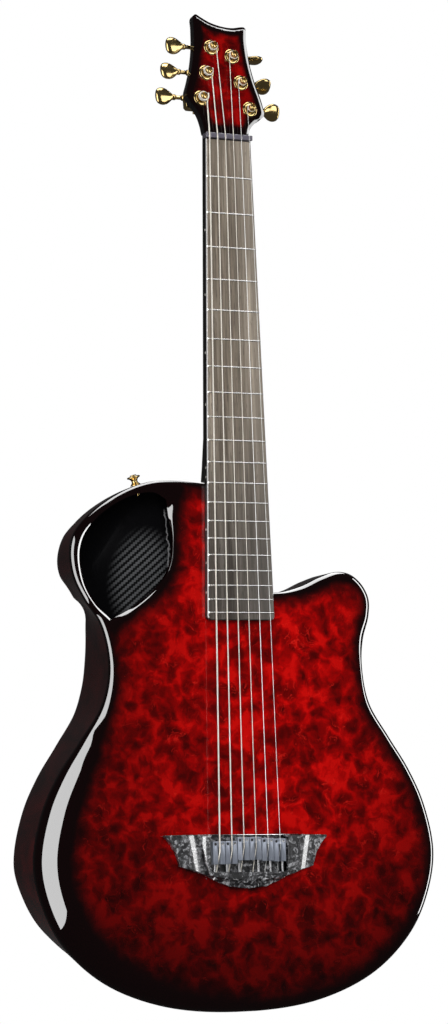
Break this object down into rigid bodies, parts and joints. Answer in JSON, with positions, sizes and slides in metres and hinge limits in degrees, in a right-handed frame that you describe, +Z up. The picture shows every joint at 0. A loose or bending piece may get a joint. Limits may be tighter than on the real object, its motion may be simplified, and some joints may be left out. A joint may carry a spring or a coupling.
{
  "type": "travel guitar",
  "caption": "Hollow carbon fibre steel string travel guitar with a cutaway, a leaf shaped soundhole in its upper bout, sealed tuners and adjustable saddles.",
  "frame": {"origin": "on the centre line at the nut's fretboard face, in the plane of the soundboard's top", "axes": "+Z up the neck towards the headstock, +X towards the treble side, +Y towards the back"},
  "size_m": [0.376, 0.096, 0.8753],
  "materials": {
    "board_black": "satin",
    "forged_carbon": "gloss",
    "gloss_carbon": "gloss",
    "gold": "polished",
    "nut_grey": "satin",
    "raw_carbon": "satin",
    "red_burl": "gloss",
    "saddle_grey": "anodised",
    "screw_steel": "polished",
    "string_bronze": "polished"
  },
  "bodies": {
    "root": {"body_shell": "gloss_carbon", "bridge": "forged_carbon", "bridge_plate": "raw_carbon", "cross_brace": "raw_carbon", "end_block": "raw_carbon", "fretboard": "board_black", "headstock_overlay": "red_burl", "jack_nut": "screw_steel", "neck": "gloss_carbon", "neck_block": "raw_carbon", "nut": "nut_grey", "output_jack": "gold", "soundboard": "red_burl", "strap_button": "gold", "strap_button_nut": "gold", "strap_button_screw": "gold", "string_1": "string_bronze", "string_2": "string_bronze", "string_3": "string_bronze", "string_4": "string_bronze", "string_5": "string_bronze", "string_6": "string_bronze", "tuner_bushing_1": "gold", "tuner_bushing_2": "gold", "tuner_bushing_3": "gold", "tuner_bushing_4": "gold", "tuner_bushing_5": "gold", "tuner_bushing_6": "gold", "tuner_housing_1": "gold", "tuner_housing_2": "gold", "tuner_housing_3": "gold", "tuner_housing_4": "gold", "tuner_housing_5": "gold", "tuner_housing_6": "gold"},
    "intonation_screw_1": {"intonation_screw_1": "screw_steel"},
    "intonation_screw_2": {"intonation_screw_2": "screw_steel"},
    "intonation_screw_3": {"intonation_screw_3": "screw_steel"},
    "intonation_screw_4": {"intonation_screw_4": "screw_steel"},
    "intonation_screw_5": {"intonation_screw_5": "screw_steel"},
    "intonation_screw_6": {"intonation_screw_6": "screw_steel"},
    "saddle_1": {"saddle_1": "saddle_grey"},
    "saddle_2": {"saddle_2": "saddle_grey"},
    "saddle_3": {"saddle_3": "saddle_grey"},
    "saddle_4": {"saddle_4": "saddle_grey"},
    "saddle_5": {"saddle_5": "saddle_grey"},
    "saddle_6": {"saddle_6": "saddle_grey"},
    "string_post_1": {"string_post_1": "gold"},
    "string_post_2": {"string_post_2": "gold"},
    "string_post_3": {"string_post_3": "gold"},
    "string_post_4": {"string_post_4": "gold"},
    "string_post_5": {"string_post_5": "gold"},
    "string_post_6": {"string_post_6": "gold"},
    "tuner_button_1": {"tuner_button_1": "gold"},
    "tuner_button_2": {"tuner_button_2": "gold"},
    "tuner_button_3": {"tuner_button_3": "gold"},
    "tuner_button_4": {"tuner_button_4": "gold"},
    "tuner_button_5": {"tuner_button_5": "gold"},
    "tuner_button_6": {"tuner_button_6": "gold"}
  },
  "joints": [
    {"name": "tuner_button_6_turn", "type": "hinge", "parent": "root", "child": "tuner_button_6", "pos_m": [-0.0233, 0.01434, 0.03964], "axis": [-1, 0, 0], "continuous": true},
    {"name": "string_post_6_turn", "type": "hinge", "parent": "root", "child": "string_post_6", "pos_m": [-0.0233, -0.00135, 0.03648], "axis": [0, -0.993, 0.1184], "continuous": true},
    {"name": "tuner_button_5_turn", "type": "hinge", "parent": "root", "child": "tuner_button_5", "pos_m": [-0.0165, 0.01722, 0.06377], "axis": [-1, 0, 0], "continuous": true},
    {"name": "string_post_5_turn", "type": "hinge", "parent": "root", "child": "string_post_5", "pos_m": [-0.0165, 0.00153, 0.06061], "axis": [0, -0.993, 0.1184], "continuous": true},
    {"name": "tuner_button_4_turn", "type": "hinge", "parent": "root", "child": "tuner_button_4", "pos_m": [-0.0097, 0.02009, 0.0879], "axis": [-1, 0, 0], "continuous": true},
    {"name": "string_post_4_turn", "type": "hinge", "parent": "root", "child": "string_post_4", "pos_m": [-0.0097, 0.00441, 0.08474], "axis": [0, -0.993, 0.1184], "continuous": true},
    {"name": "tuner_button_3_turn", "type": "hinge", "parent": "root", "child": "tuner_button_3", "pos_m": [0.01, 0.01931, 0.08135], "axis": [1, 0, 0], "continuous": true},
    {"name": "string_post_3_turn", "type": "hinge", "parent": "root", "child": "string_post_3", "pos_m": [0.01, 0.00363, 0.07818], "axis": [0, -0.993, 0.1184], "continuous": true},
    {"name": "tuner_button_2_turn", "type": "hinge", "parent": "root", "child": "tuner_button_2", "pos_m": [0.0168, 0.01643, 0.05722], "axis": [1, 0, 0], "continuous": true},
    {"name": "string_post_2_turn", "type": "hinge", "parent": "root", "child": "string_post_2", "pos_m": [0.0168, 0.00075, 0.05405], "axis": [0, -0.993, 0.1184], "continuous": true},
    {"name": "tuner_button_1_turn", "type": "hinge", "parent": "root", "child": "tuner_button_1", "pos_m": [0.0236, 0.01356, 0.03309], "axis": [1, 0, 0], "continuous": true},
    {"name": "string_post_1_turn", "type": "hinge", "parent": "root", "child": "string_post_1", "pos_m": [0.0236, -0.00213, 0.02992], "axis": [0, -0.993, 0.1184], "continuous": true},
    {"name": "intonation_screw_6_turn", "type": "hinge", "parent": "root", "child": "intonation_screw_6", "pos_m": [-0.03225, -0.0074, -0.645], "axis": [0, 0, 1], "continuous": true},
    {"name": "saddle_6_slide", "type": "slide", "parent": "root", "child": "saddle_6", "axis": [0, 0, 1], "range_m": [-0.003, 0.002]},
    {"name": "intonation_screw_5_turn", "type": "hinge", "parent": "root", "child": "intonation_screw_5", "pos_m": [-0.02067, -0.0074, -0.645], "axis": [0, 0, 1], "continuous": true},
    {"name": "saddle_5_slide", "type": "slide", "parent": "root", "child": "saddle_5", "axis": [0, 0, 1], "range_m": [-0.003, 0.002]},
    {"name": "intonation_screw_4_turn", "type": "hinge", "parent": "root", "child": "intonation_screw_4", "pos_m": [-0.00909, -0.0074, -0.645], "axis": [0, 0, 1], "continuous": true},
    {"name": "saddle_4_slide", "type": "slide", "parent": "root", "child": "saddle_4", "axis": [0, 0, 1], "range_m": [-0.003, 0.002]},
    {"name": "intonation_screw_3_turn", "type": "hinge", "parent": "root", "child": "intonation_screw_3", "pos_m": [0.00909, -0.0074, -0.645], "axis": [0, 0, 1], "continuous": true},
    {"name": "saddle_3_slide", "type": "slide", "parent": "root", "child": "saddle_3", "axis": [0, 0, 1], "range_m": [-0.003, 0.002]},
    {"name": "intonation_screw_2_turn", "type": "hinge", "parent": "root", "child": "intonation_screw_2", "pos_m": [0.02067, -0.0074, -0.645], "axis": [0, 0, 1], "continuous": true},
    {"name": "saddle_2_slide", "type": "slide", "parent": "root", "child": "saddle_2", "axis": [0, 0, 1], "range_m": [-0.003, 0.002]},
    {"name": "intonation_screw_1_turn", "type": "hinge", "parent": "root", "child": "intonation_screw_1", "pos_m": [0.03225, -0.0074, -0.645], "axis": [0, 0, 1], "continuous": true},
    {"name": "saddle_1_slide", "type": "slide", "parent": "root", "child": "saddle_1", "axis": [0, 0, 1], "range_m": [-0.003, 0.002]}
  ],
  "couplings": [
    {"joint": "string_post_6_turn", "follows": "tuner_button_6_turn", "ratio": 0.0625},
    {"joint": "string_post_5_turn", "follows": "tuner_button_5_turn", "ratio": 0.0625},
    {"joint": "string_post_4_turn", "follows": "tuner_button_4_turn", "ratio": 0.0625},
    {"joint": "string_post_3_turn", "follows": "tuner_button_3_turn", "ratio": 0.0625},
    {"joint": "string_post_2_turn", "follows": "tuner_button_2_turn", "ratio": 0.0625},
    {"joint": "string_post_1_turn", "follows": "tuner_button_1_turn", "ratio": 0.0625},
    {"joint": "intonation_screw_6_turn", "follows": "saddle_6_slide", "rad_per_m": -13963},
    {"joint": "intonation_screw_5_turn", "follows": "saddle_5_slide", "rad_per_m": -13963},
    {"joint": "intonation_screw_4_turn", "follows": "saddle_4_slide", "rad_per_m": -13963},
    {"joint": "intonation_screw_3_turn", "follows": "saddle_3_slide", "rad_per_m": -13963},
    {"joint": "intonation_screw_2_turn", "follows": "saddle_2_slide", "rad_per_m": -13963},
    {"joint": "intonation_screw_1_turn", "follows": "saddle_1_slide", "rad_per_m": -13963}
  ]
}
